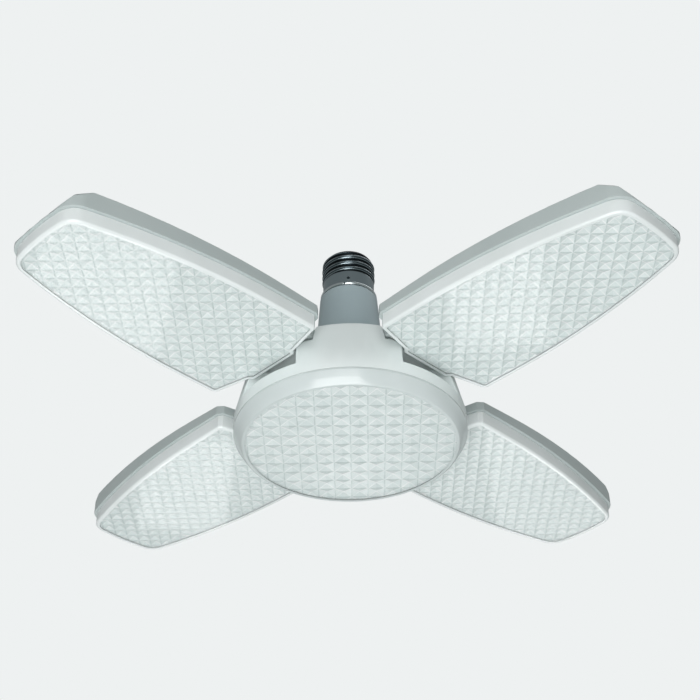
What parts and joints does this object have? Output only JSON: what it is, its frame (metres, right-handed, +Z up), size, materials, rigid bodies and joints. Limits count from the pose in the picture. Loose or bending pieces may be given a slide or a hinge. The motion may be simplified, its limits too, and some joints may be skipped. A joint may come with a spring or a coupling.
{
  "type": "folding garage light",
  "caption": "Screw-cap lamp with a round lens on a flared neck and hinged, lens-covered light blades that fold up beside the neck.",
  "frame": {"origin": "centre of the centre contact's face, at the top of the screw cap", "axes": "+Z up along the lamp's axis, out of the contact; the blades lie at 45 degrees to X and Y"},
  "size_m": [0.2758, 0.2758, 0.1128],
  "materials": {
    "plated_metal": "nickel plated, rolled",
    "black_glass": "vitrified black, smooth",
    "contact_brass": "pressed, tinned",
    "white_plastic": "moulded, satin",
    "clear_lens": "clear moulded polycarbonate with prisms",
    "aluminium_plate": "pressed sheet",
    "white_board": "white solder mask on aluminium",
    "light_chip": "phosphor gel",
    "zinc_steel": "zinc plated",
    "green_board": "solder mask on fibreglass",
    "black_sleeve": "insulating sleeve",
    "copper_winding": "enamelled copper"
  },
  "bodies": {
    "hub": {"cap_shell": "plated_metal", "cap_insulator": "black_glass", "centre_contact": "contact_brass", "hub_housing": "white_plastic", "hub_lens": "clear_lens", "heat_plate": "aluminium_plate", "hub_board": "white_board", "hub_chips": "light_chip", "plate_screws": "zinc_steel", "driver_board": "green_board", "driver_capacitor": "black_sleeve", "driver_choke": "copper_winding", "driver_chips": "black_sleeve", "lead_connector": "white_plastic", "cap_leads": "black_sleeve", "hub_leads": "black_sleeve", "hinge_pins_back_right": "zinc_steel", "hinge_pins_back_left": "zinc_steel", "hinge_pins_front_left": "zinc_steel", "hinge_pins_front_right": "zinc_steel"},
    "blade_back_right": {"blade_shell_back_right": "white_plastic", "blade_lens_back_right": "clear_lens", "blade_board_back_right": "white_board", "blade_chips_back_right": "light_chip", "board_screws_back_right": "zinc_steel", "blade_lead_back_right": "black_sleeve"},
    "blade_back_left": {"blade_shell_back_left": "white_plastic", "blade_lens_back_left": "clear_lens", "blade_board_back_left": "white_board", "blade_chips_back_left": "light_chip", "board_screws_back_left": "zinc_steel", "blade_lead_back_left": "black_sleeve"},
    "blade_front_left": {"blade_shell_front_left": "white_plastic", "blade_lens_front_left": "clear_lens", "blade_board_front_left": "white_board", "blade_chips_front_left": "light_chip", "board_screws_front_left": "zinc_steel", "blade_lead_front_left": "black_sleeve"},
    "blade_front_right": {"blade_shell_front_right": "white_plastic", "blade_lens_front_right": "clear_lens", "blade_board_front_right": "white_board", "blade_chips_front_right": "light_chip", "board_screws_front_right": "zinc_steel", "blade_lead_front_right": "black_sleeve"}
  },
  "joints": [
    {"name": "fold_back_right", "type": "hinge", "parent": "hub", "child": "blade_back_right", "pos_m": [0.03281, 0.03281, -0.0817], "axis": [0.7071, -0.7071, 0], "range_deg": [0, 90]},
    {"name": "fold_back_left", "type": "hinge", "parent": "hub", "child": "blade_back_left", "pos_m": [-0.03281, 0.03281, -0.0817], "axis": [0.7071, 0.7071, 0], "range_deg": [0, 90]},
    {"name": "fold_front_left", "type": "hinge", "parent": "hub", "child": "blade_front_left", "pos_m": [-0.03281, -0.03281, -0.0817], "axis": [-0.7071, 0.7071, 0], "range_deg": [0, 90]},
    {"name": "fold_front_right", "type": "hinge", "parent": "hub", "child": "blade_front_right", "pos_m": [0.03281, -0.03281, -0.0817], "axis": [-0.7071, -0.7071, 0], "range_deg": [0, 90]}
  ]
}
